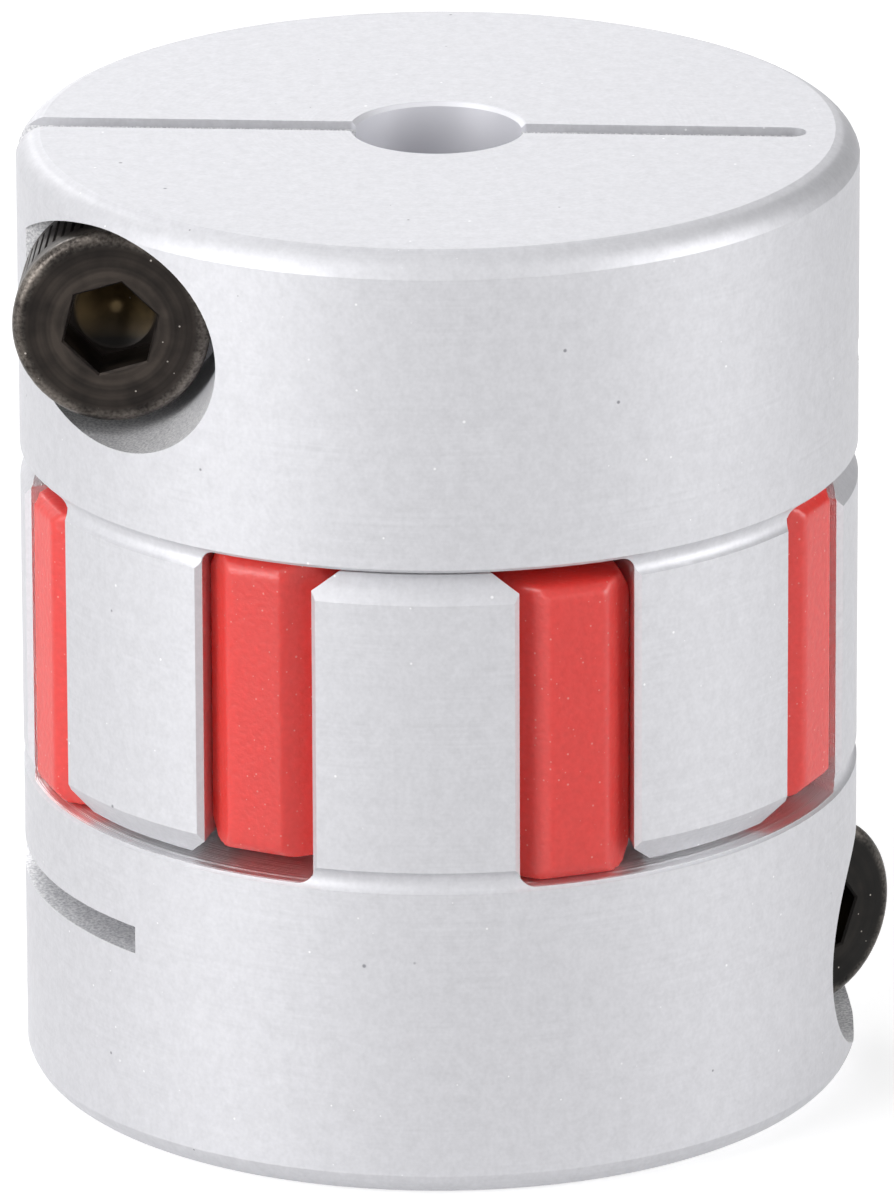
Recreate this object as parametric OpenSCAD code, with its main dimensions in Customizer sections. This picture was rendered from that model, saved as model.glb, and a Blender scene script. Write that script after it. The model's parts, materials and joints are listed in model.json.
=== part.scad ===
// Shaft coupling: two clamping hubs with interlocking jaws, an elastic spider between them and a clamp screw in each.
// Millimetres, +Z up. The coupling's axis is Z and the lower hub's end face lies on Z = 0.

/* [Hubs] */
// Outside diameter of both hubs and of their jaws
hub_d = 30; // [29.5:0.1:32]
// Length of a hub from its end face to the floor between its jaws
hub_len = 11.6; // [11:0.1:14]
// Width of the rounded edge round the end face
rim_leg = 0.87; // [0.5:0.01:0.95]
// Radius of the curve across that edge
rim_round = 1.3; // [1:0.05:2.5]
// Shaft bore
bore_d = 6; // [4:0.1:10]
// Chamfer at both ends of the bore
bore_chamfer = 0.15; // [0.05:0.05:0.4]
// Width of the round groove that runs round the jaw roots
groove_w = 0.8; // [0.4:0.05:1]
// Depth of that groove
groove_depth = 0.2; // [0.1:0.02:0.3]
// Height of the groove's middle over the floor between the jaws
groove_lift = 0.28; // [0.1:0.02:0.4]

/* [Jaws] */
// Length of a jaw from the floor to its tip
jaw_len = 11.55; // [11:0.05:13]
// Diameter inside the jaws
jaw_in_d = 16.4; // [16:0.1:17.6]
// Depth of the turned recess inside the jaws, below the floor between them
eye_recess = 0.3; // [0.1:0.05:0.8]
// Gap between a jaw tip and the floor of the other hub
tip_gap = 0.25; // [0.1:0.05:1]
// Length of the chamfer on the outside of a jaw tip
tip_chamfer = 0.95; // [0.3:0.05:1.2]
// Depth of that chamfer
tip_chamfer_in = 0.65; // [0.2:0.05:1]
// Chamfer on the inside of a jaw tip
tip_inner_chamfer = 0.3; // [0.1:0.05:0.6]
// Chamfer on the flanks of a jaw tip that leads the spider in
lead_in = 0.65; // [0.2:0.05:1.1]
// Fillet between a jaw's flank and the floor
root_round = 0.5; // [0.2:0.05:0.7]
// Bevel along the outer edges of a jaw
edge_bevel = 0.28; // [0.1:0.02:0.4]

/* [Spider] */
// Widest part of the space that a tooth fills, between two jaws
tooth_space = 4.95; // [4.6:0.05:5.2]
// Distance from the axis at which the space is widest
tooth_mid = 11.8; // [11:0.1:12.6]
// Radius of the hollow jaw flank
flank_round = 12; // [9:0.5:20]
// Gap between a tooth and a jaw flank, on each side
tooth_fit = 0.03; // [0.02:0.01:0.1]
// How far the outer face of a tooth lies inside the hubs' outside
tooth_inset = 0.1; // [0.05:0.05:0.8]
// Width of the outer face of a tooth
tooth_face = 2.1; // [1.6:0.1:2.6]
// Chamfer on each side of that face
tooth_corner = 1.15; // [0.9:0.05:1.3]
// Alternate teeth stand this much higher and lower than the middle
tooth_stagger = 0.33; // [0:0.01:0.5]
// Gap between a tooth and the hub floor that it stands nearest to
tooth_end_gap = 0.12; // [0.05:0.01:0.4]
// Chamfer at the top and bottom of a tooth
tooth_chamfer = 0.35; // [0.2:0.05:0.8]
// Hole through the spider
eye_d = 10.5; // [9:0.1:12]
// Gap between the spider's ring and the inside of the jaws
ring_gap = 0.2; // [0.1:0.05:0.5]
// Height of the spider's ring
ring_h = 8.4; // [6:0.1:9.4]

/* [Clamping] */
// Width of the slot across the end face
slot_w = 1.1; // [0.8:0.05:1.5]
// Wall left at the closed end of that slot
slot_web = 1.9; // [1.4:0.05:3]
// Distance from the end face to the cross slot behind the clamp half
cross_slot_at = 7.6; // [7.2:0.05:8.4]
// Width of the cross slot
cross_slot_w = 1; // [0.6:0.05:1.3]
// Distance of a clamp screw in from the hub's outside
screw_inset = 4; // [3.6:0.05:4.6]
// Distance of a clamp screw from the end face
screw_at = 4.75; // [4.5:0.05:5]
// Distance from the slot's middle to the seat under the screw head
seat_at = 4.4; // [4:0.05:5]
// Diameter of the pocket round the screw head
pocket_d = 8; // [7.5:0.1:8.4]

/* [Screws] */
// Nominal screw diameter
screw_d = 4; // [3:0.1:4.2]
// Screw length under the head
screw_len = 12; // [10:0.5:14]
// Diameter of the screw head
head_d = 7; // [6.4:0.05:7.2]
// Height of the screw head
head_h = 4; // [3.4:0.05:4.4]
// Rounding of the head's outer edge
head_round = 0.4; // [0.1:0.05:0.7]
// Hexagon socket across flats
hex_af = 3; // [2:0.1:3.4]
// Depth of the hexagon socket
hex_depth = 2.1; // [1.4:0.1:2.4]
// Play of the screw in its plain hole, on the diameter
plain_play = 0.3; // [0.1:0.05:0.6]
// Play of the screw in its tapped hole, on the diameter
tapped_play = 0.1; // [0.05:0.01:0.2]
// How far the upper screw is turned out of its seat, as delivered
upper_back = 0.6; // [0:0.05:1]
// How far the lower screw is turned out of its seat
lower_back = 0; // [0:0.05:1]
// Turn of the upper screw's hexagon
upper_hex_turn = 16.5; // [0:0.5:60]
// Turn of the lower screw's hexagon
lower_hex_turn = 6.5; // [0:0.5:60]

/* [Assembly] */
// Turn of the lower hub about the axis, which brings its jaws between the upper ones
lower_turn = -135; // [-135, -45, 45, 135]

/* [Hidden] */
$fn = 128;

aluminium = [0.80, 0.81, 0.83];
polyurethane = [0.80, 0.20, 0.20];
black_steel = [0.11, 0.10, 0.09];

// Jaws of one hub, and the angle from one tooth of the spider to the next
jaw_count = 4;
tooth_count = 2 * jaw_count;
tooth_pitch = 360 / tooth_count;

hub_r = hub_d / 2;
bore_r = bore_d / 2;
jaw_in_r = jaw_in_d / 2;
tip_z = hub_len + jaw_len;
recess_z = hub_len - eye_recess;
coupling_len = 2 * hub_len + jaw_len + tip_gap;
past = 1;

// The hollow flank is an arc. Its centre lies this far across the tooth's own middle line.
flank_across = flank_round - tooth_space / 2;
flank_far = norm([tooth_mid, flank_across]);
flank_edge_turn = atan2(flank_across, tooth_mid)
    - acos((hub_r * hub_r + flank_far * flank_far - flank_round * flank_round) / (2 * hub_r * flank_far));

// Middle of the curve across the end face's edge, measured in from the corner on both sides
rim_in = rim_leg / 2 + sqrt(rim_round * rim_round - rim_leg * rim_leg / 2) / sqrt(2);

slot_end = hub_r - slot_web - slot_w / 2;
slot_depth = cross_slot_at + cross_slot_w;

// The groove is part of a circle that has its middle outside the hub
groove_round = (groove_w * groove_w / 4 + groove_depth * groove_depth) / (2 * groove_depth);

ring_r = jaw_in_r - ring_gap;
tooth_round = flank_round - tooth_fit;
tooth_reach = hub_r - tooth_inset;
tooth_h = jaw_len + tip_gap - 2 * (tooth_end_gap + tooth_stagger);
tooth_side_drop = 0.7;
tooth_side_in = 0.35;
ring_chamfer = 0.4;

screw_offset = hub_r - screw_inset;
screw_r = screw_d / 2;
hex_r = hex_af / sqrt(3);
hex_mouth = 0.08;
// The drill that opens the socket: a little narrower than the hexagon, with the usual point
drill_inset = 0.09;
drill_angle = 118;
drill_r = hex_af / 2 - drill_inset;
drill_point = drill_r / tan(drill_angle / 2);
tip_bevel = 0.5;

// Outline of a hub from its bore outwards: curved edge at the end face, groove at the jaw roots, chamfered tips
module hub_outline() {
    difference() {
        polygon([
            [bore_r + bore_chamfer, 0],
            [hub_r, 0],
            [hub_r, tip_z - tip_chamfer],
            [hub_r - tip_chamfer_in, tip_z],
            [jaw_in_r + tip_inner_chamfer, tip_z],
            [jaw_in_r, tip_z - tip_inner_chamfer],
            [jaw_in_r, recess_z],
            [bore_r + bore_chamfer, recess_z],
            [bore_r, recess_z - bore_chamfer],
            [bore_r, bore_chamfer]
        ]);
        difference() {
            translate([hub_r - rim_in, -past])
                square(rim_in + past);
            translate([hub_r - rim_in, rim_in])
                circle(r = rim_round);
        }
        translate([hub_r + groove_round - groove_depth, hub_len + groove_lift])
            circle(r = groove_round);
    }
}

// The tool that leaves a hollow flank: a wide disc with a rounded foot and a flared top
module flank_tool() {
    rotate_extrude()
        difference() {
            polygon([
                [0, hub_len],
                [flank_round, hub_len],
                [flank_round, tip_z - lead_in],
                [flank_round + lead_in + past, tip_z + past],
                [0, tip_z + past]
            ]);
            difference() {
                translate([flank_round - root_round, hub_len - past])
                    square([root_round + past, root_round + past]);
                translate([flank_round - root_round, hub_len + root_round])
                    circle(r = root_round);
            }
        }
}

// The disc for the first flank of the pocket that has its middle on +X
module flank_disc() {
    rotate([0, 0, -tooth_pitch / 2])
        translate([tooth_mid, flank_across, 0])
            flank_tool();
}

// The bevel along the outer edge of that flank
module flank_bevel() {
    rotate([0, 0, flank_edge_turn - tooth_pitch / 2])
        translate([hub_r, 0, hub_len + groove_lift])
            rotate([0, 0, 45])
                translate([-edge_bevel / sqrt(2), -past, 0])
                    cube([past, 2 * past, jaw_len]);
}

// The pocket between two jaws, with its middle on +X: two teeth and a jaw of the other hub fill it
module jaw_pocket() {
    intersection() {
        flank_disc();
        mirror([0, 1, 0])
            flank_disc();
    }
    flank_bevel();
    mirror([0, 1, 0])
        flank_bevel();
}

// The slot across the end face through the bore, open on -X and closed on +X, and the half cross slot
module clamp_slots() {
    translate([-hub_r - past, -slot_w / 2, -past])
        cube([hub_r + past + slot_end, slot_w, slot_depth + past]);
    translate([slot_end, 0, -past])
        cylinder(r = slot_w / 2, h = slot_depth + past);
    translate([-hub_r - past, -hub_r - past, cross_slot_at])
        cube([2 * (hub_r + past), hub_r + past + slot_w / 2, cross_slot_w]);
}

// Moves a screw, which stands on its seat along +Z, to its place in a hub
module screw_place() {
    translate([-screw_offset, seat_at, screw_at])
        rotate([-90, 0, 0])
            children();
}

// The head's pocket, the plain hole as far as the slot, and the tapped hole through the other half
module screw_holes() {
    screw_place() {
        cylinder(d = pocket_d, h = hub_r + past);
        translate([0, 0, -seat_at])
            cylinder(d = screw_d + plain_play, h = seat_at + past);
        translate([0, 0, -seat_at - hub_r - past])
            cylinder(d = screw_d + tapped_play, h = hub_r + 2 * past);
    }
}

// One hub, standing on its end face with its jaws up
module hub() {
    difference() {
        rotate_extrude()
            hub_outline();
        for (i = [0 : jaw_count - 1])
            rotate([0, 0, i * 360 / jaw_count])
                jaw_pocket();
        clamp_slots();
        screw_holes();
    }
}

// A socket head cap screw, its head standing on Z = 0 and its shank below
module clamp_screw(hex_turn) {
    difference() {
        union() {
            rotate_extrude()
                difference() {
                    square([head_d / 2, head_h]);
                    difference() {
                        translate([head_d / 2 - head_round, head_h - head_round])
                            square(head_round + past);
                        translate([head_d / 2 - head_round, head_h - head_round])
                            circle(r = head_round);
                    }
                }
            rotate_extrude()
                polygon([
                    [0, -screw_len],
                    [screw_r - tip_bevel, -screw_len],
                    [screw_r, tip_bevel - screw_len],
                    [screw_r, past],
                    [0, past]
                ]);
        }
        rotate([0, 0, hex_turn]) {
            translate([0, 0, head_h - hex_depth])
                cylinder(r = hex_r, h = hex_depth + past, $fn = 6);
            translate([0, 0, head_h - hex_mouth])
                cylinder(r1 = hex_r, r2 = hex_r + hex_mouth + past, h = hex_mouth + past, $fn = 6);
        }
        translate([0, 0, head_h - hex_depth - drill_point])
            cylinder(r1 = 0, r2 = drill_r, h = drill_point);
    }
}

// One crowned flank of a tooth along +X: the edge of a wide disc, chamfered at both ends of the tooth
module tooth_flank() {
    half = tooth_h / 2;
    translate([tooth_mid, flank_across, 0])
        rotate_extrude()
            polygon([
                [0, -half],
                [tooth_round - tooth_side_in, -half],
                [tooth_round, tooth_side_drop - half],
                [tooth_round, half - tooth_side_drop],
                [tooth_round - tooth_side_in, half],
                [0, half]
            ]);
}

// Plan of a tooth's outer end: a flat face with a chamfer on each side of it
module tooth_plan() {
    polygon([
        [eye_d / 2, -tooth_space],
        [tooth_reach - tooth_corner, -tooth_space],
        [tooth_reach - tooth_corner, -tooth_face / 2 - tooth_corner],
        [tooth_reach, -tooth_face / 2],
        [tooth_reach, tooth_face / 2],
        [tooth_reach - tooth_corner, tooth_face / 2 + tooth_corner],
        [tooth_reach - tooth_corner, tooth_space],
        [eye_d / 2, tooth_space]
    ]);
}

// Side view of a tooth, with the chamfers above and below its outer face
module tooth_profile() {
    half = tooth_h / 2;
    polygon([
        [0, -half - past],
        [tooth_reach - tooth_chamfer - past, -half - past],
        [tooth_reach, tooth_chamfer - half],
        [tooth_reach, half - tooth_chamfer],
        [tooth_reach - tooth_chamfer - past, half + past],
        [0, half + past]
    ]);
}

// A tooth, level with Z = 0 at its middle
module tooth() {
    intersection() {
        tooth_flank();
        mirror([0, 1, 0])
            tooth_flank();
        translate([0, 0, -tooth_h])
            linear_extrude(height = 2 * tooth_h)
                tooth_plan();
        rotate([90, 0, 0])
            translate([0, 0, -tooth_space])
                linear_extrude(height = 2 * tooth_space)
                    tooth_profile();
    }
}

// The star: a ring with a hole through it and a tooth for every space between the jaws
module star() {
    half = ring_h / 2;
    difference() {
        union() {
            rotate_extrude()
                polygon([
                    [0, -half],
                    [ring_r - ring_chamfer, -half],
                    [ring_r, ring_chamfer - half],
                    [ring_r, half - ring_chamfer],
                    [ring_r - ring_chamfer, half],
                    [0, half]
                ]);
            for (i = [0 : tooth_count - 1])
                rotate([0, 0, (i + 0.5) * tooth_pitch])
                    translate([0, 0, i % 2 == 0 ? -tooth_stagger : tooth_stagger])
                        tooth();
        }
        translate([0, 0, -tooth_h])
            cylinder(d = eye_d, h = 2 * tooth_h);
    }
}

module lower_place() {
    rotate([0, 0, lower_turn])
        children();
}

module upper_place() {
    translate([0, 0, coupling_len])
        rotate([180, 0, 0])
            children();
}

module lower_hub() {
    color(aluminium)
        lower_place()
            hub();
}

module upper_hub() {
    color(aluminium)
        upper_place()
            hub();
}

module spider() {
    color(polyurethane)
        translate([0, 0, coupling_len / 2])
            star();
}

module lower_clamp_screw() {
    color(black_steel)
        lower_place()
            screw_place()
                translate([0, 0, lower_back])
                    clamp_screw(lower_hex_turn);
}

module upper_clamp_screw() {
    color(black_steel)
        upper_place()
            screw_place()
                translate([0, 0, upper_back])
                    clamp_screw(upper_hex_turn);
}

lower_hub();
upper_hub();
spider();
lower_clamp_screw();
upper_clamp_screw();
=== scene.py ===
"""Dresses the shaft coupling for its picture.

Two blasted aluminium hubs, a red spider and two black clamp screws stand on a white table.
"""

import json
import math

import bmesh
import bpy
from mathutils import Euler, Matrix, Vector

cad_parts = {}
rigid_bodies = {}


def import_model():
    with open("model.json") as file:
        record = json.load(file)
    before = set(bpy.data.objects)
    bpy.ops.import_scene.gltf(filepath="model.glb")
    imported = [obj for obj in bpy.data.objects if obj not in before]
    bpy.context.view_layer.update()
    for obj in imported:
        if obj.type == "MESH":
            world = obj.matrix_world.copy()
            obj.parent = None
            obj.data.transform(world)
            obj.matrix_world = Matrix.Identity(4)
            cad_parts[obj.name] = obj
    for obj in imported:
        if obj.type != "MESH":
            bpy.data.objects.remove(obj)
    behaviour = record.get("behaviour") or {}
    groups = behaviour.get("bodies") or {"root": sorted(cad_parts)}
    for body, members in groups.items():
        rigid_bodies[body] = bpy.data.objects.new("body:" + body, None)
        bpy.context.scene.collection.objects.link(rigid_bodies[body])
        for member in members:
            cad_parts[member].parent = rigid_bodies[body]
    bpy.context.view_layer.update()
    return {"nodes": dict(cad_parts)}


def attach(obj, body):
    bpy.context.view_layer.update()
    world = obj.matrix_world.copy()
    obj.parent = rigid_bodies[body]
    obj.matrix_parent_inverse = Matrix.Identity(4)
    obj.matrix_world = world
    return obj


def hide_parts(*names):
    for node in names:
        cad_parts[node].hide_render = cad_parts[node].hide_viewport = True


MM = 0.001

# Camera, from the outlines of the hubs in the photograph
PHOTO_WIDTH = 894
PHOTO_HEIGHT = 1200
CAMERA_AZIMUTH = math.radians(3.4)
CAMERA_ELEVATION = math.radians(19.19)
CAMERA_DISTANCE = 523.7 * MM
CAMERA_ROLL = -0.004
FOCAL_PIXELS = 14582
AIM_PIXEL_X = 439.66
AIM_PIXEL_Y = 592.49
SENSOR_MM = 36
CAMERA_NEAR = 10 * MM

# The whole coupling
COUPLING_LENGTH = 35 * MM
MERGE_DISTANCE = 0.001 * MM
SHARP_ANGLE = math.radians(30)

# The hubs: their zones, of which two count from the coupling's middle, and the sizes of the marks on them
BORE_RADIUS = 3 * MM
CHAMFER_START = 0.1 * MM
CHAMFER_END = 0.2 * MM
LEDGE_ZONE = 7 * MM
CUT_ZONE = 17.2 * MM
LATHE_FEED = 0.11 * MM
RING_PATCH = 3 * MM
TURNING_STEP = 0.04 * MM
GROOVE_DEPTH = 0.04 * MM
CUTTER_GRIT = 0.09 * MM
BLAST_GRAIN = 0.15 * MM
BLAST_BLOTCH = 0.5 * MM
BLAST_DEPTH = 0.02 * MM
# Painted glints: bright specks for blast grains catching the light
PAINTED_GLINT_SIZE = 0.07 * MM
PAINTED_GLINT_SPACING = 0.9 * MM
# Painted shade: dark specks for pits, with no dent in the surface
PAINTED_PIT_SHADE_SIZE = 0.09 * MM
PAINTED_PIT_SHADE_SPACING = 1.8 * MM

# Shares and levels on the hubs
RINGS_WORN = 0.42
RINGS_WHOLE = 0.62
NO_RING = 0.5
BLOTCH_SHARE = 0.45
RING_SHARE = 0.2
BLAST_STRENGTH = 0.12
CUT_FROM = 0.55
CUT_TO = 0.45
GRIT_LOW = 0.35
GRIT_HIGH = 0.65
HUB_METAL = 0.52
LEDGE_METAL = 0.9
HUB_ROUGHNESS = 0.55
LEDGE_ROUGHNESS = 0.35
END_DULLNESS = 0.15

# Colours of the hubs
HUB_SHADE = "#BABABE"
HUB_LIGHT = "#E1E1E5"
# The bright specks are painted glints
PAINTED_GLINT_COLOUR = "#EEEEF0"
# The dark specks are painted shade in pits
PAINTED_PIT_SHADE = "#8E8E94"
# Painted light: the bore is coloured paler so that its inside reads lighter
BORE_PAINTED_LIGHT = "#E4E4E9"
# Cutter grit on the pockets and slots, coloured pale as painted light in them
CUTTER_GRIT_PAINTED_LIGHT_LOW = "#CACACE"
CUTTER_GRIT_PAINTED_LIGHT_HIGH = "#FCFCFD"
LEDGE_COLOUR = "#F4F4F6"

# The spider
SKIN_STEP = 0.14 * MM
ROUNDING_STEPS = 2
ROUNDING_SHARE = 0.5
FACE_SHARE = 0.4
SKIN_GRAIN = 0.22 * MM
SKIN_DEPTH = 0.03 * MM
SKIN_STRENGTH = 0.8
GLOW_DEPTH = 3 * MM
DUST_SIZE = 0.055 * MM
DUST_SPACING = 0.28 * MM
SPIDER_SHADE = "#E0342E"
SPIDER_LIGHT = "#F8463F"
SPIDER_DUST = "#F0938B"

# The part of a speck that is solid, inside its soft edge
SPECK_CORE = 0.5

# The M4 clamp screws, measured from the underside of the head
SCREW_HEAD_RADIUS = 3.5 * MM
SCREW_HEAD_HEIGHT = 4 * MM
SCREW_RADIUS = 2 * MM
SCREW_LENGTH = 12 * MM
THREAD_PITCH = 0.7 * MM
THREAD_DEPTH = 0.43 * MM
THREAD_LENGTH = 11.4 * MM
GROOVE_SIZE = 0.367 * MM
SOCKET_RADIUS = 1.5 * MM
SOCKET_FLOOR = 1.9 * MM
DRILL_POINT = 0.7 * MM
FLUTE_COUNT = 60
FLUTE_DEPTH = 0.12 * MM
FLUTE_SIZE = 0.2 * MM
FLUTE_LENGTH = 2.5 * MM
FLUTE_FOOT = 0.4 * MM
SCREW_SIZES = {
    "Turns": THREAD_LENGTH / THREAD_PITCH,
    "Thread Length": THREAD_LENGTH,
    "Thread Foot": -SCREW_LENGTH - THREAD_DEPTH,
    "Groove Radius": SCREW_RADIUS - THREAD_DEPTH + GROOVE_SIZE,
    "Groove Size": GROOVE_SIZE,
    "Flutes": FLUTE_COUNT,
    "Flute Angle": 2 * math.pi / FLUTE_COUNT,
    "Flute Circle": SCREW_HEAD_RADIUS - FLUTE_DEPTH + FLUTE_SIZE,
    "Flute Size": FLUTE_SIZE,
    "Flute Length": FLUTE_LENGTH,
    "Flute Middle": FLUTE_FOOT + FLUTE_LENGTH / 2,
}
HELIX_STEPS = 36
VEE_SIDES = 3

# Marks on the screws
FORMING_RING = 0.35 * MM
FORMING_DEPTH = 0.02 * MM
FORMING_STRENGTH = 0.2
OIL_CLOUD = 1.2 * MM
WEAR_GRIT = 0.12 * MM
RIM_WIDTH = 0.55 * MM
RIM_START = 0.9 * MM
RIM_FULL = 0.3 * MM
SOCKET_BLEND = 0.2 * MM
# Painted glint on the upper side of the drill point: where it starts and where it is full
POINT_GLINT_START = -1.1 * MM
POINT_GLINT_FULL = 0.7 * MM
STEEL_DUST_SIZE = 0.05 * MM
STEEL_DUST_SPACING = 0.5 * MM
MARKS_LOW = 0.12
MARKS_HIGH = 0.4
CLOUDS_LOW = 0.3
CLOUDS_HIGH = 0.7
OILED_ROUGHNESS = 0.28
DRY_ROUGHNESS = 0.5
UPPER_SHADE = "#1E1A18"
UPPER_LIGHT = "#403934"
# The lower screw is the same steel as the upper; its darker colours are painted shade
PAINTED_SHADE_LOWER_DARK = "#0D0C0B"
PAINTED_SHADE_LOWER_LIGHT = "#1D1A17"
RUBBED_STEEL = "#8A837C"
# Painted shade: the drill point at the foot of the socket is coloured near black
POINT_PAINTED_SHADE = "#110F0D"
# Painted glint: a golden reflection on the upper side of the drill point
POINT_GLINT_COLOUR = "#A0865A"
STEEL_DUST = "#B4ADA6"

# Where the screws sit: the middle of each head's underside, and the turn that brings Z to the screw's axis
SCREW_OFFSET = 11 * MM
SEAT_DISTANCE = 4.4 * MM
UPPER_BACK = 0.6 * MM
SCREW_LEVEL = 4.75 * MM
LOWER_TURN = math.radians(45)
UPPER_SEAT = Vector((-SCREW_OFFSET, -SEAT_DISTANCE - UPPER_BACK, COUPLING_LENGTH - SCREW_LEVEL))
UPPER_AXIS = Euler((math.pi / 2, 0, 0))
LOWER_SEAT = Matrix.Rotation(LOWER_TURN, 3, "Z") @ Vector((SCREW_OFFSET, -SEAT_DISTANCE, SCREW_LEVEL))
LOWER_AXIS = Euler((math.pi / 2, 0, LOWER_TURN))

# Table, world, grey card and lamps
FLOOR_REACH = 3
FLOOR_DROP = 0.02 * MM
FLOOR_GREY = (0.6, 0.6, 0.6, 1)
FLOOR_GLOW = 0.65
WHITE = (1, 1, 1, 1)
WORLD_LIGHT = 0.14
WORLD_SHOWN = 1.0
CARD_DISTANCE = 0.22
CARD_COLOUR = "#484848"
LAMP_DISTANCE = 0.5


def linear(hex_colour):
    """Turns an sRGB hex value to a linear colour with full alpha."""
    channels = []
    for start in (1, 3, 5):
        value = int(hex_colour[start:start + 2], 16) / 255
        if value <= 0.04045:
            channels.append(value / 12.92)
        else:
            channels.append(((value + 0.055) / 1.055) ** 2.4)
    return (*channels, 1)


def add_node(tree, kind, settings, links):
    """Adds a node, sets its options and sockets, and links other nodes' outputs to its sockets."""
    node = tree.nodes.new(kind)
    for name, value in settings.items():
        if isinstance(name, str) and hasattr(node, name):
            setattr(node, name, value)
        else:
            node.inputs[name].default_value = value
    for name, output in links.items():
        tree.links.new(output, node.inputs[name])
    return node


def new_material(name):
    """Starts a material and gives it with its node tree and its surface shader."""
    material = bpy.data.materials.new(name)
    material.use_nodes = True
    tree = material.node_tree
    return material, tree, tree.nodes["Principled BSDF"]


def hub_aluminium():
    """Aluminium bar, turned, blasted and clear-anodised.

    It gives the eye a pale satin silver that is half matt, faint broken lathe rings, a fine grain,
    a few bright specks that are painted glints and a few dark specks that are painted shade in pits.
    The end faces are duller, the bore is coloured paler as painted light inside it,
    the pockets and slots are gritty with cutter marks and coloured pale as painted light in them,
    and the ledges and flanks between the jaws, where the blast doesn't reach,
    keep a bright cut face that mirrors the red beside it.
    """
    material, tree, shader = new_material("blasted clear-anodised aluminium")
    place = add_node(tree, "ShaderNodeTexCoord", {}, {}).outputs["Object"]
    level = add_node(tree, "ShaderNodeVectorMath", {"operation": "MULTIPLY", 1: (1, 1, 0)}, {0: place})
    radius = add_node(tree, "ShaderNodeVectorMath", {"operation": "LENGTH"}, {0: level.outputs[0]})
    height = add_node(tree, "ShaderNodeSeparateXYZ", {}, {0: place})
    turned = add_node(
        tree,
        "ShaderNodeCombineXYZ",
        {},
        {"X": radius.outputs["Value"], "Y": height.outputs["Z"]},
    )
    rings = add_node(
        tree,
        "ShaderNodeTexNoise",
        {"noise_dimensions": "2D", "Scale": 1 / LATHE_FEED, "Detail": 1},
        {"Vector": turned.outputs[0]},
    )
    patches = add_node(tree, "ShaderNodeTexNoise", {"Scale": 1 / RING_PATCH, "Detail": 2}, {"Vector": place})
    grain = add_node(tree, "ShaderNodeTexNoise", {"Scale": 1 / BLAST_GRAIN, "Detail": 3}, {"Vector": place})
    ring_depth = add_node(
        tree,
        "ShaderNodeMapRange",
        {"From Min": RINGS_WORN, "From Max": RINGS_WHOLE},
        {"Value": patches.outputs["Fac"]},
    )
    worn_rings = add_node(
        tree,
        "ShaderNodeMix",
        {2: NO_RING},
        {0: ring_depth.outputs["Result"], 3: rings.outputs["Fac"]},
    )
    blotches = add_node(
        tree,
        "ShaderNodeTexNoise",
        {"Scale": 1 / BLAST_BLOTCH, "Detail": 2},
        {"Vector": place},
    )
    blasted = add_node(
        tree,
        "ShaderNodeMix",
        {0: BLOTCH_SHARE},
        {2: grain.outputs["Fac"], 3: blotches.outputs["Fac"]},
    )
    mottle = add_node(
        tree,
        "ShaderNodeMix",
        {0: RING_SHARE},
        {2: blasted.outputs[0], 3: worn_rings.outputs[0]},
    )
    tone = add_node(
        tree,
        "ShaderNodeMix",
        {"data_type": "RGBA", 6: linear(HUB_SHADE), 7: linear(HUB_LIGHT)},
        {0: mottle.outputs[0]},
    )
    # Painted glints: a few bright specks
    bright = speck_mask(tree, place, PAINTED_GLINT_SPACING, PAINTED_GLINT_SIZE)
    with_painted_glints = add_node(
        tree,
        "ShaderNodeMix",
        {"data_type": "RGBA", 7: linear(PAINTED_GLINT_COLOUR)},
        {0: bright, 6: tone.outputs[2]},
    )
    # Painted shade: a few dark specks for pits
    dark = speck_mask(tree, place, PAINTED_PIT_SHADE_SPACING, PAINTED_PIT_SHADE_SIZE)
    with_painted_pit_shade = add_node(
        tree,
        "ShaderNodeMix",
        {"data_type": "RGBA", 7: linear(PAINTED_PIT_SHADE)},
        {0: dark, 6: with_painted_glints.outputs[2]},
    )
    relief = add_node(
        tree,
        "ShaderNodeBump",
        {"Strength": BLAST_STRENGTH, "Distance": BLAST_DEPTH},
        {"Height": mottle.outputs[0]},
    )
    # Painted light: the bore is coloured paler so that its inside reads lighter
    bore = add_node(
        tree,
        "ShaderNodeMapRange",
        {"From Min": BORE_RADIUS + CHAMFER_END, "From Max": BORE_RADIUS + CHAMFER_START},
        {"Value": radius.outputs["Value"]},
    )
    bore_in_painted_light = add_node(
        tree,
        "ShaderNodeMix",
        {"data_type": "RGBA", 7: linear(BORE_PAINTED_LIGHT)},
        {0: bore.outputs["Result"], 6: with_painted_pit_shade.outputs[2]},
    )
    outward = add_node(tree, "ShaderNodeVectorMath", {"operation": "NORMALIZE"}, {0: level.outputs[0]})
    surface = add_node(tree, "ShaderNodeNewGeometry", {}, {})
    facing = add_node(
        tree,
        "ShaderNodeVectorMath",
        {"operation": "DOT_PRODUCT"},
        {0: outward.outputs[0], 1: surface.outputs["Normal"]},
    )
    roundness = add_node(tree, "ShaderNodeMath", {"operation": "ABSOLUTE"}, {0: facing.outputs["Value"]})
    cut = add_node(
        tree,
        "ShaderNodeMapRange",
        {"From Min": CUT_FROM, "From Max": CUT_TO},
        {"Value": roundness.outputs[0]},
    )
    between_ends = add_node(
        tree,
        "ShaderNodeMath",
        {"operation": "COMPARE", 1: COUPLING_LENGTH / 2, 2: CUT_ZONE},
        {0: height.outputs["Z"]},
    )
    milled = add_node(
        tree,
        "ShaderNodeMath",
        {"operation": "MULTIPLY"},
        {0: cut.outputs["Result"], 1: between_ends.outputs[0]},
    )
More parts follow.
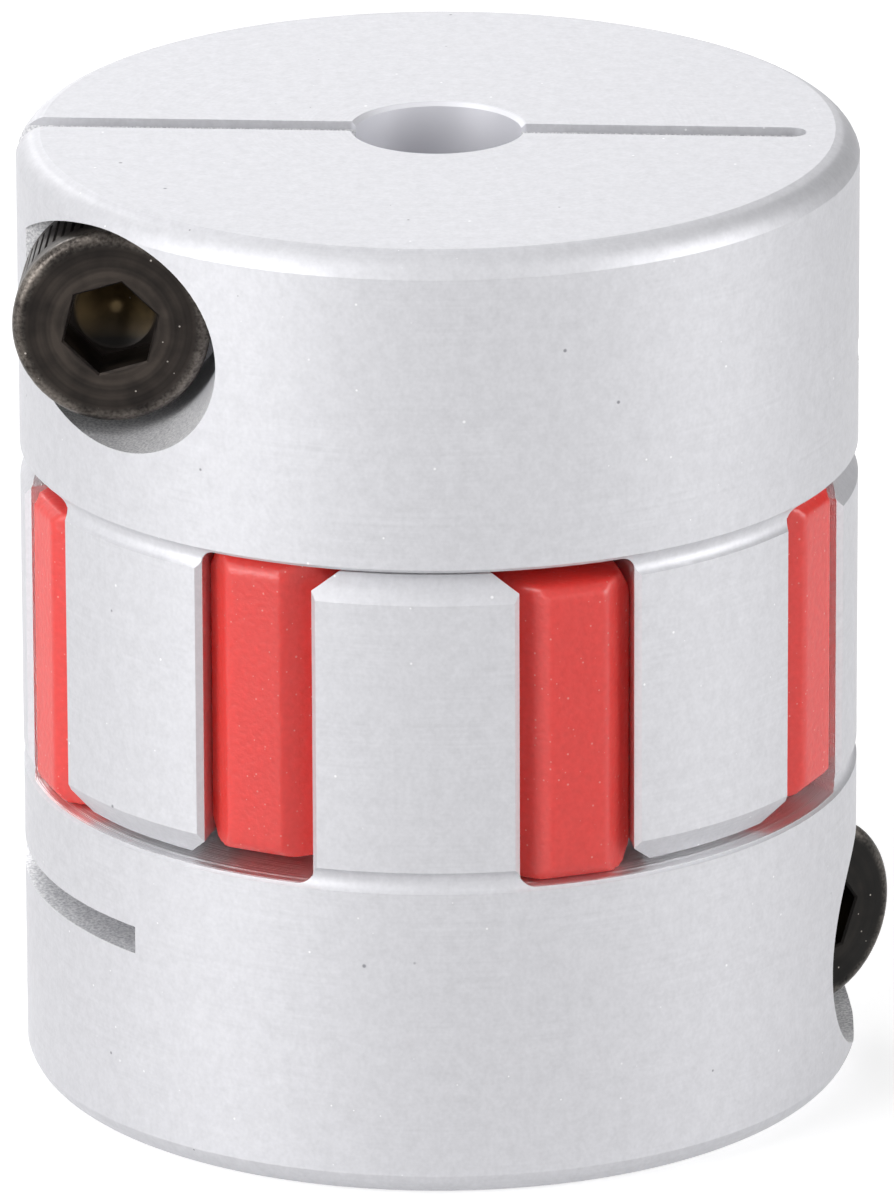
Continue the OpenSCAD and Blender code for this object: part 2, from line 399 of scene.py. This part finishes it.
    # Cutter grit, with painted light: the pockets and slots are coloured pale so that they read lighter
    grit = add_node(tree, "ShaderNodeTexNoise", {"Scale": 1 / CUTTER_GRIT, "Detail": 2}, {"Vector": place})
    chatter = add_node(
        tree,
        "ShaderNodeMapRange",
        {"From Min": GRIT_LOW, "From Max": GRIT_HIGH},
        {"Value": grit.outputs["Fac"]},
    )
    cutter_marks_in_painted_light = add_node(
        tree,
        "ShaderNodeMix",
        {"data_type": "RGBA", 6: linear(CUTTER_GRIT_PAINTED_LIGHT_LOW), 7: linear(CUTTER_GRIT_PAINTED_LIGHT_HIGH)},
        {0: chatter.outputs["Result"]},
    )
    machined = add_node(
        tree,
        "ShaderNodeMix",
        {"data_type": "RGBA"},
        {0: milled.outputs[0], 6: bore_in_painted_light.outputs[2], 7: cutter_marks_in_painted_light.outputs[2]},
    )
    between_jaws = add_node(
        tree,
        "ShaderNodeMath",
        {"operation": "COMPARE", 1: COUPLING_LENGTH / 2, 2: LEDGE_ZONE},
        {0: height.outputs["Z"]},
    )
    ledge = add_node(
        tree,
        "ShaderNodeMath",
        {"operation": "MULTIPLY"},
        {0: cut.outputs["Result"], 1: between_jaws.outputs[0]},
    )
    mirror = add_node(
        tree,
        "ShaderNodeMix",
        {"data_type": "RGBA", 7: linear(LEDGE_COLOUR)},
        {0: ledge.outputs[0], 6: machined.outputs[2]},
    )
    brightness = add_node(
        tree,
        "ShaderNodeMapRange",
        {"To Min": HUB_METAL, "To Max": LEDGE_METAL},
        {"Value": ledge.outputs[0]},
    )
    sheen = add_node(
        tree,
        "ShaderNodeMapRange",
        {"To Min": HUB_ROUGHNESS, "To Max": LEDGE_ROUGHNESS},
        {"Value": ledge.outputs[0]},
    )
    ends = add_node(
        tree,
        "ShaderNodeMath",
        {"operation": "SUBTRACT"},
        {0: cut.outputs["Result"], 1: milled.outputs[0]},
    )
    dullness = add_node(
        tree,
        "ShaderNodeMath",
        {"operation": "MULTIPLY_ADD", 1: END_DULLNESS},
        {0: ends.outputs[0], 2: sheen.outputs["Result"]},
    )
    grooves = add_node(
        tree,
        "ShaderNodeTexNoise",
        {"noise_dimensions": "2D", "Scale": 1 / TURNING_STEP, "Detail": 0},
        {"Vector": turned.outputs[0]},
    )
    turned_relief = add_node(
        tree,
        "ShaderNodeBump",
        {"Distance": GROOVE_DEPTH},
        {"Strength": ledge.outputs[0], "Height": grooves.outputs["Fac"], "Normal": relief.outputs[0]},
    )
    tree.links.new(mirror.outputs[2], shader.inputs["Base Color"])
    tree.links.new(turned_relief.outputs[0], shader.inputs["Normal"])
    tree.links.new(dullness.outputs[0], shader.inputs["Roughness"])
    tree.links.new(brightness.outputs["Result"], shader.inputs["Metallic"])
    return material


def speck_mask(tree, place, spacing, radius):
    """One in round specks of up to a radius, scattered at about a spacing, and nothing elsewhere."""
    cells = add_node(tree, "ShaderNodeTexVoronoi", {"Scale": 1 / spacing}, {"Vector": place})
    chance = add_node(tree, "ShaderNodeSeparateColor", {}, {0: cells.outputs["Color"]}).outputs[0]
    edge = add_node(tree, "ShaderNodeMath", {"operation": "MULTIPLY", 1: radius / spacing}, {0: chance})
    core = add_node(tree, "ShaderNodeMath", {"operation": "MULTIPLY", 1: SPECK_CORE}, {0: edge.outputs[0]})
    mask = add_node(
        tree,
        "ShaderNodeMapRange",
        {},
        {"Value": cells.outputs["Distance"], "From Min": edge.outputs[0], "From Max": core.outputs[0]},
    )
    return mask.outputs["Result"]


def spider_polyurethane():
    """Injection-moulded polyurethane.

    It gives the eye a strong red that glows where it is thin, a dull skin and a few pale grains of dust.
    """
    material, tree, shader = new_material("moulded red polyurethane")
    place = add_node(tree, "ShaderNodeTexCoord", {}, {}).outputs["Object"]
    skin = add_node(tree, "ShaderNodeTexNoise", {"Scale": 1 / SKIN_GRAIN, "Detail": 5}, {"Vector": place})
    red = add_node(
        tree,
        "ShaderNodeMix",
        {"data_type": "RGBA", 6: linear(SPIDER_SHADE), 7: linear(SPIDER_LIGHT)},
        {0: skin.outputs["Fac"]},
    )
    dust = speck_mask(tree, place, DUST_SPACING, DUST_SIZE)
    dusty = add_node(
        tree,
        "ShaderNodeMix",
        {"data_type": "RGBA", 7: linear(SPIDER_DUST)},
        {0: dust, 6: red.outputs[2]},
    )
    relief = add_node(
        tree,
        "ShaderNodeBump",
        {"Strength": SKIN_STRENGTH, "Distance": SKIN_DEPTH},
        {"Height": skin.outputs["Fac"]},
    )
    tree.links.new(dusty.outputs[2], shader.inputs["Base Color"])
    tree.links.new(relief.outputs[0], shader.inputs["Normal"])
    shader.inputs["Roughness"].default_value = 0.4
    shader.inputs["IOR"].default_value = 1.5
    shader.inputs["Specular IOR Level"].default_value = 0.7
    shader.inputs["Subsurface Weight"].default_value = 0.8
    shader.inputs["Subsurface Radius"].default_value = (1, 0.12, 0.1)
    shader.inputs["Subsurface Scale"].default_value = GLOW_DEPTH
    return material


def screw_steel(name, seat, turn, shade, light):
    """Cold-headed alloy steel, blacked with oxide and given a coat of oil.

    It gives the eye a brown-black that is half bright, with faint forming rings, cloudy handling marks,
    a rim rubbed back to grey steel, painted shade in the drill point at the foot of the socket,
    a painted golden glint, clouded, on the upper side of that point, and a few grains of dust.
    The lower screw's darker colours are painted shade.
    The pattern is centred on the screw: its seat is the head's underside, and its Z axis is the screw's.
    """
    material, tree, shader = new_material(name)
    place = add_node(tree, "ShaderNodeTexCoord", {}, {}).outputs["Object"]
    local = add_node(
        tree,
        "ShaderNodeMapping",
        {"vector_type": "TEXTURE", "Location": seat, "Rotation": turn},
        {"Vector": place},
    ).outputs[0]
    level = add_node(tree, "ShaderNodeVectorMath", {"operation": "MULTIPLY", 1: (1, 1, 0)}, {0: local})
    radius = add_node(tree, "ShaderNodeVectorMath", {"operation": "LENGTH"}, {0: level.outputs[0]})
    height = add_node(tree, "ShaderNodeSeparateXYZ", {}, {0: local})
    formed = add_node(
        tree,
        "ShaderNodeCombineXYZ",
        {},
        {"X": radius.outputs["Value"], "Y": height.outputs["Z"]},
    )
    rings = add_node(
        tree,
        "ShaderNodeTexNoise",
        {"noise_dimensions": "2D", "Scale": 1 / FORMING_RING, "Detail": 2},
        {"Vector": formed.outputs[0]},
    )
    clouds = add_node(tree, "ShaderNodeTexNoise", {"Scale": 1 / OIL_CLOUD, "Detail": 4}, {"Vector": local})
    grit = add_node(tree, "ShaderNodeTexNoise", {"Scale": 1 / WEAR_GRIT, "Detail": 2}, {"Vector": local})
    mottle = add_node(
        tree,
        "ShaderNodeMath",
        {"operation": "MULTIPLY"},
        {0: rings.outputs["Fac"], 1: clouds.outputs["Fac"]},
    )
    depth = add_node(
        tree,
        "ShaderNodeMapRange",
        {"From Min": MARKS_LOW, "From Max": MARKS_HIGH},
        {"Value": mottle.outputs[0]},
    )
    black = add_node(
        tree,
        "ShaderNodeMix",
        {"data_type": "RGBA", 6: linear(shade), 7: linear(light)},
        {0: depth.outputs["Result"]},
    )
    outer = add_node(
        tree,
        "ShaderNodeMapRange",
        {"From Min": SCREW_HEAD_RADIUS - RIM_WIDTH, "From Max": SCREW_HEAD_RADIUS},
        {"Value": radius.outputs["Value"]},
    )
    upper = add_node(
        tree,
        "ShaderNodeMapRange",
        {"From Min": SCREW_HEAD_HEIGHT - RIM_START, "From Max": SCREW_HEAD_HEIGHT - RIM_FULL},
        {"Value": height.outputs["Z"]},
    )
    handling = add_node(
        tree,
        "ShaderNodeMath",
        {"operation": "MULTIPLY"},
        {0: grit.outputs["Fac"], 1: clouds.outputs["Fac"]},
    )
    scuffs = add_node(
        tree,
        "ShaderNodeMapRange",
        {"From Min": MARKS_LOW, "From Max": MARKS_HIGH},
        {"Value": handling.outputs[0]},
    )
    rim = add_node(
        tree,
        "ShaderNodeMath",
        {"operation": "MULTIPLY"},
        {0: outer.outputs["Result"], 1: upper.outputs["Result"]},
    )
    rubbed = add_node(
        tree,
        "ShaderNodeMath",
        {"operation": "MULTIPLY"},
        {0: rim.outputs[0], 1: scuffs.outputs["Result"]},
    )
    worn = add_node(
        tree,
        "ShaderNodeMix",
        {"data_type": "RGBA", 7: linear(RUBBED_STEEL)},
        {0: rubbed.outputs[0], 6: black.outputs[2]},
    )
    inside = add_node(
        tree,
        "ShaderNodeMapRange",
        {"From Min": SOCKET_RADIUS, "From Max": SOCKET_RADIUS - SOCKET_BLEND},
        {"Value": radius.outputs["Value"]},
    )
    below = add_node(
        tree,
        "ShaderNodeMath",
        {"operation": "COMPARE", 1: SOCKET_FLOOR - DRILL_POINT / 2, 2: DRILL_POINT},
        {0: height.outputs["Z"]},
    )
    point = add_node(
        tree,
        "ShaderNodeMath",
        {"operation": "MULTIPLY"},
        {0: inside.outputs["Result"], 1: below.outputs[0]},
    )
    # Painted shade: the drill point at the foot of the socket is darkened to near black
    point_in_painted_shade = add_node(
        tree,
        "ShaderNodeMix",
        {"data_type": "RGBA", 7: linear(POINT_PAINTED_SHADE)},
        {0: point.outputs[0], 6: worn.outputs[2]},
    )
    # Painted glint: a golden reflection, clouded, on the upper side of the drill point
    upper_side = add_node(
        tree,
        "ShaderNodeMapRange",
        {"From Min": POINT_GLINT_START, "From Max": POINT_GLINT_FULL},
        {"Value": height.outputs["Y"]},
    )
    cloudy_point_glint = add_node(
        tree,
        "ShaderNodeMath",
        {"operation": "MULTIPLY"},
        {0: upper_side.outputs["Result"], 1: clouds.outputs["Fac"]},
    )
    point_glint = add_node(
        tree,
        "ShaderNodeMath",
        {"operation": "MULTIPLY"},
        {0: point.outputs[0], 1: cloudy_point_glint.outputs[0]},
    )
    with_point_glint = add_node(
        tree,
        "ShaderNodeMix",
        {"data_type": "RGBA", 7: linear(POINT_GLINT_COLOUR)},
        {0: point_glint.outputs[0], 6: point_in_painted_shade.outputs[2]},
    )
    dust = speck_mask(tree, local, STEEL_DUST_SPACING, STEEL_DUST_SIZE)
    dusty = add_node(
        tree,
        "ShaderNodeMix",
        {"data_type": "RGBA", 7: linear(STEEL_DUST)},
        {0: dust, 6: with_point_glint.outputs[2]},
    )
    gloss = add_node(
        tree,
        "ShaderNodeMapRange",
        {
            "From Min": CLOUDS_LOW,
            "From Max": CLOUDS_HIGH,
            "To Min": OILED_ROUGHNESS,
            "To Max": DRY_ROUGHNESS,
        },
        {"Value": clouds.outputs["Fac"]},
    )
    relief = add_node(
        tree,
        "ShaderNodeBump",
        {"Strength": FORMING_STRENGTH, "Distance": FORMING_DEPTH},
        {"Height": mottle.outputs[0]},
    )
    tree.links.new(dusty.outputs[2], shader.inputs["Base Color"])
    tree.links.new(gloss.outputs["Result"], shader.inputs["Roughness"])
    tree.links.new(relief.outputs[0], shader.inputs["Normal"])
    shader.inputs["Metallic"].default_value = 0.8
    return material


def softened_spider(material):
    """The spider with the corners of its teeth rounded, as they come from the mould."""
    piece = bpy.data.objects.new("red_spider", merged_copy("spider"))
    bpy.context.scene.collection.objects.link(piece)
    skin = piece.modifiers.new("even skin", "REMESH")
    skin.mode = "VOXEL"
    skin.voxel_size = SKIN_STEP
    rounding = piece.modifiers.new("rounded corners", "SMOOTH")
    rounding.factor = ROUNDING_SHARE
    rounding.iterations = ROUNDING_STEPS
    thinning = piece.modifiers.new("fewer faces", "DECIMATE")
    thinning.ratio = FACE_SHARE
    rounded = plain_mesh(piece, material)
    rounded.shade_smooth()
    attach(piece, "root")
    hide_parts("spider")


def merged_copy(node_name):
    """A copy of a CAD node's mesh with its loose triangles joined and its stored normals left off."""
    copy = frame["nodes"][node_name].data.copy()
    if "custom_normal" in copy.attributes:
        copy.attributes.remove(copy.attributes["custom_normal"])
    work = bmesh.new()
    work.from_mesh(copy)
    bmesh.ops.remove_doubles(work, verts=work.verts, dist=MERGE_DISTANCE)
    work.to_mesh(copy)
    work.free()
    return copy


def plain_mesh(piece, material):
    """Turns what a piece's modifiers make into its plain mesh, of one material, and gives that mesh."""
    ready = piece.evaluated_get(bpy.context.evaluated_depsgraph_get())
    mesh = bpy.data.meshes.new_from_object(ready)
    piece.modifiers.clear()
    piece.data = mesh
    mesh.materials.clear()
    mesh.materials.append(material)
    return mesh


def thread_and_knurl():
    """The node tree that cuts the thread into a screw's shank and the knurl into the side of its head.

    The thread is a V swept along a helix, and the knurl is a ring of V prisms.
    """
    tree = bpy.data.node_groups.new("thread_and_knurl", "GeometryNodeTree")
    tree.interface.new_socket("Blank", in_out="INPUT", socket_type="NodeSocketGeometry")
    for name in SCREW_SIZES:
        kind = "NodeSocketInt" if name == "Flutes" else "NodeSocketFloat"
        tree.interface.new_socket(name, in_out="INPUT", socket_type=kind)
    tree.interface.new_socket("Steel", in_out="INPUT", socket_type="NodeSocketMaterial")
    tree.interface.new_socket("Screw", in_out="OUTPUT", socket_type="NodeSocketGeometry")
    size = tree.nodes.new("NodeGroupInput").outputs
    helix = add_node(
        tree,
        "GeometryNodeCurveSpiral",
        {"Resolution": HELIX_STEPS},
        {
            "Rotations": size["Turns"],
            "Start Radius": size["Groove Radius"],
            "End Radius": size["Groove Radius"],
            "Height": size["Thread Length"],
        },
    )
    upright = add_node(tree, "GeometryNodeSetCurveNormal", {"mode": "Z_UP"}, {"Curve": helix.outputs[0]})
    vee = add_node(
        tree,
        "GeometryNodeCurvePrimitiveCircle",
        {"Resolution": VEE_SIDES},
        {"Radius": size["Groove Size"]},
    )
    groove = add_node(
        tree,
        "GeometryNodeCurveToMesh",
        {"Fill Caps": True},
        {"Curve": upright.outputs[0], "Profile Curve": vee.outputs[0]},
    )
    foot = add_node(tree, "ShaderNodeCombineXYZ", {}, {"Z": size["Thread Foot"]})
    thread = add_node(
        tree,
        "GeometryNodeTransform",
        {},
        {"Geometry": groove.outputs[0], "Translation": foot.outputs[0]},
    )
    ring = add_node(
        tree,
        "GeometryNodeMeshCircle",
        {},
        {"Vertices": size["Flutes"], "Radius": size["Flute Circle"]},
    )
    prism = add_node(
        tree,
        "GeometryNodeMeshCylinder",
        {"Vertices": VEE_SIDES},
        {"Radius": size["Flute Size"], "Depth": size["Flute Length"]},
    )
    number = add_node(tree, "GeometryNodeInputIndex", {}, {})
    angle = add_node(
        tree,
        "ShaderNodeMath",
        {"operation": "MULTIPLY_ADD", 2: math.pi},
        {0: number.outputs[0], 1: size["Flute Angle"]},
    )
    inward = add_node(tree, "ShaderNodeCombineXYZ", {}, {"Z": angle.outputs[0]})
    flutes = add_node(
        tree,
        "GeometryNodeInstanceOnPoints",
        {},
        {"Points": ring.outputs[0], "Instance": prism.outputs[0], "Rotation": inward.outputs[0]},
    )
    level = add_node(tree, "ShaderNodeCombineXYZ", {}, {"Z": size["Flute Middle"]})
    raised = add_node(
        tree,
        "GeometryNodeTransform",
        {},
        {"Geometry": flutes.outputs[0], "Translation": level.outputs[0]},
    )
    knurl = add_node(tree, "GeometryNodeRealizeInstances", {}, {"Geometry": raised.outputs[0]})
    knurled = add_node(
        tree,
        "GeometryNodeMeshBoolean",
        {"operation": "DIFFERENCE", "solver": "EXACT"},
        {"Mesh 1": size["Blank"], "Mesh 2": knurl.outputs[0]},
    )
    threaded = add_node(
        tree,
        "GeometryNodeMeshBoolean",
        {"operation": "DIFFERENCE", "solver": "EXACT"},
        {"Mesh 1": knurled.outputs[0], "Mesh 2": thread.outputs[0]},
    )
    plain = add_node(tree, "GeometryNodeRealizeInstances", {}, {"Geometry": threaded.outputs[0]})
    steel = add_node(
        tree,
        "GeometryNodeSetMaterial",
        {},
        {"Geometry": plain.outputs[0], "Material": size["Steel"]},
    )
    add_node(tree, "NodeGroupOutput", {}, {0: steel.outputs[0]})
    return tree


def cap_screw(piece_name, node_name, tree, seat, turn, material):
    """A cap screw with its thread and its knurled head, cut from the CAD node that it stands for."""
    place = Matrix.Translation(seat) @ turn.to_matrix().to_4x4()
    blank = merged_copy(node_name)
    blank.transform(place.inverted())
    piece = bpy.data.objects.new(piece_name, blank)
    bpy.context.scene.collection.objects.link(piece)
    cutting = piece.modifiers.new("thread and knurl", "NODES")
    cutting.node_group = tree
    for item in tree.interface.items_tree:
        if item.name in SCREW_SIZES:
            cutting[item.identifier] = SCREW_SIZES[item.name]
        if item.name == "Steel":
            cutting[item.identifier] = material
    finished = plain_mesh(piece, material)
    finished.transform(place)
    finished.polygons.foreach_set("material_index", [0] * len(finished.polygons))
    finished.shade_smooth()
    finished.set_sharp_from_angle(angle=SHARP_ANGLE)
    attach(piece, "root")
    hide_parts(node_name)


def give(node_name, material):
    """Puts a material in every slot of a CAD node."""
    for slot in frame["nodes"][node_name].material_slots:
        slot.material = material


def add_camera():
    """The camera at the photograph's viewing angle, with the coupling's middle on its pixel."""
    middle = Vector((0, 0, COUPLING_LENGTH / 2))
    level = CAMERA_DISTANCE * math.cos(CAMERA_ELEVATION)
    offset = Vector(
        (
            level * math.sin(CAMERA_AZIMUTH),
            -level * math.cos(CAMERA_AZIMUTH),
            CAMERA_DISTANCE * math.sin(CAMERA_ELEVATION),
        )
    )
    data = bpy.data.cameras.new("photograph camera")
    data.sensor_fit = "VERTICAL"
    data.sensor_height = SENSOR_MM
    data.lens = FOCAL_PIXELS / PHOTO_HEIGHT * SENSOR_MM
    data.shift_x = (PHOTO_WIDTH / 2 - AIM_PIXEL_X) / PHOTO_HEIGHT
    data.shift_y = (AIM_PIXEL_Y - PHOTO_HEIGHT / 2) / PHOTO_HEIGHT
    data.clip_start = CAMERA_NEAR
    camera = bpy.data.objects.new("photograph camera", data)
    facing = (-offset).to_track_quat("-Z", "Y").to_matrix().to_4x4()
    roll = Matrix.Rotation(CAMERA_ROLL, 4, "Z")
    camera.matrix_world = Matrix.Translation(middle + offset) @ facing @ roll
    bpy.context.scene.collection.objects.link(camera)
    bpy.context.scene.camera = camera


def add_softbox(name, azimuth, elevation, width, height, watts):
    """A soft lamp that faces the coupling; its azimuth counts from the camera's side towards the right."""
    turn = math.radians(azimuth) + CAMERA_AZIMUTH
    lift = math.radians(elevation)
    middle = Vector((0, 0, COUPLING_LENGTH / 2))
    offset = LAMP_DISTANCE * Vector(
        (math.cos(lift) * math.sin(turn), -math.cos(lift) * math.cos(turn), math.sin(lift))
    )
    data = bpy.data.lights.new(name, "AREA")
    data.shape = "RECTANGLE"
    data.size = width
    data.size_y = height
    data.energy = watts
    lamp = bpy.data.objects.new(name, data)
    facing = (-offset).to_track_quat("-Z", "Y").to_matrix().to_4x4()
    lamp.matrix_world = Matrix.Translation(middle + offset) @ facing
    bpy.context.scene.collection.objects.link(lamp)


def shown_rays(tree):
    """One for the rays that show a thing, straight to the camera or by way of gloss or glass."""
    rays = add_node(tree, "ShaderNodeLightPath", {}, {})
    seen = add_node(
        tree,
        "ShaderNodeMath",
        {"operation": "MAXIMUM"},
        {0: rays.outputs["Is Camera Ray"], 1: rays.outputs["Is Glossy Ray"]},
    )
    shown = add_node(
        tree,
        "ShaderNodeMath",
        {"operation": "MAXIMUM"},
        {0: seen.outputs[0], 1: rays.outputs["Is Transmission Ray"]},
    )
    return shown.outputs[0]


def add_floor():
    """A white table that keeps the coupling's shadow, and that is clear when seen from below."""
    mesh = bpy.data.meshes.new("table")
    corners = [
        (-FLOOR_REACH, -FLOOR_REACH, -FLOOR_DROP),
        (FLOOR_REACH, -FLOOR_REACH, -FLOOR_DROP),
        (FLOOR_REACH, FLOOR_REACH, -FLOOR_DROP),
        (-FLOOR_REACH, FLOOR_REACH, -FLOOR_DROP),
    ]
    mesh.from_pydata(corners, [], [(0, 1, 2, 3)])
    floor = bpy.data.objects.new("table", mesh)
    bpy.context.scene.collection.objects.link(floor)
    material = bpy.data.materials.new("white table paper")
    material.use_nodes = True
    tree = material.node_tree
    tree.nodes.clear()
    shown = shown_rays(tree)
    glow = add_node(tree, "ShaderNodeMath", {"operation": "MULTIPLY", 1: FLOOR_GLOW}, {0: shown})
    matt = add_node(tree, "ShaderNodeBsdfDiffuse", {"Color": FLOOR_GREY}, {})
    white = add_node(tree, "ShaderNodeEmission", {"Color": WHITE}, {"Strength": glow.outputs[0]})
    both = add_node(tree, "ShaderNodeAddShader", {}, {0: matt.outputs[0], 1: white.outputs[0]})
    clear = add_node(tree, "ShaderNodeBsdfTransparent", {}, {})
    below = add_node(tree, "ShaderNodeNewGeometry", {}, {}).outputs["Backfacing"]
    one_sided = add_node(
        tree,
        "ShaderNodeMixShader",
        {},
        {0: below, 1: both.outputs[0], 2: clear.outputs[0]},
    )
    add_node(tree, "ShaderNodeOutputMaterial", {}, {"Surface": one_sided.outputs[0]})
    mesh.materials.append(material)


def add_grey_card(name, azimuth, width, height):
    """A grey card behind an edge, out of the camera's view, that draws the metal's edge darker."""
    turn = math.radians(azimuth)
    middle = CARD_DISTANCE * Vector((math.sin(turn), -math.cos(turn), 0))
    along = width / 2 * Vector((math.cos(turn), math.sin(turn), 0))
    up = Vector((0, 0, height))
    corners = [middle - along, middle + along, middle + along + up, middle - along + up]
    mesh = bpy.data.meshes.new(name)
    mesh.from_pydata(corners, [], [(0, 1, 2, 3)])
    card = bpy.data.objects.new(name, mesh)
    card.visible_camera = False
    card.visible_shadow = False
    bpy.context.scene.collection.objects.link(card)
    material = bpy.data.materials.new("matt grey card")
    material.use_nodes = True
    shader = material.node_tree.nodes["Principled BSDF"]
    shader.inputs["Base Color"].default_value = linear(CARD_COLOUR)
    shader.inputs["Roughness"].default_value = 1
    mesh.materials.append(material)


def add_world():
    """White to the camera and to reflections, and a dimmer white as light from all round."""
    world = bpy.data.worlds.new("white studio")
    world.use_nodes = True
    tree = world.node_tree
    shown = shown_rays(tree)
    level = add_node(
        tree,
        "ShaderNodeMapRange",
        {"To Min": WORLD_LIGHT, "To Max": WORLD_SHOWN},
        {"Value": shown},
    )
    background = tree.nodes["Background"]
    background.inputs["Color"].default_value = WHITE
    tree.links.new(level.outputs["Result"], background.inputs["Strength"])
    bpy.context.scene.world = world


for leftover in list(bpy.data.objects):
    bpy.data.objects.remove(leftover)

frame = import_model()

aluminium = hub_aluminium()
give("lower_hub", aluminium)
give("upper_hub", aluminium)
softened_spider(spider_polyurethane())
cutters = thread_and_knurl()
upper_steel = screw_steel("black-oxide steel, upper screw", UPPER_SEAT, UPPER_AXIS, UPPER_SHADE, UPPER_LIGHT)
# The lower screw's colours are painted shade: the same steel, darker
lower_steel = screw_steel("black-oxide steel, lower screw in painted shade", LOWER_SEAT, LOWER_AXIS, PAINTED_SHADE_LOWER_DARK, PAINTED_SHADE_LOWER_LIGHT)
cap_screw("upper_cap_screw", "upper_clamp_screw", cutters, UPPER_SEAT, UPPER_AXIS, upper_steel)
cap_screw("lower_cap_screw", "lower_clamp_screw", cutters, LOWER_SEAT, LOWER_AXIS, lower_steel)

add_camera()
add_floor()
add_grey_card("right_card", azimuth=130, width=0.3, height=0.24)
add_world()
add_softbox("left softbox", azimuth=-54, elevation=13, width=0.24, height=0.42, watts=2.2)
add_softbox("high left softbox", azimuth=-66, elevation=58, width=0.16, height=0.16, watts=0.34)
add_softbox("right softbox", azimuth=73, elevation=16, width=0.2, height=0.3, watts=1.4)
add_softbox("back softbox", azimuth=-165, elevation=35, width=0.35, height=0.25, watts=1.1)
bpy.context.scene.view_settings.view_transform = "Standard"
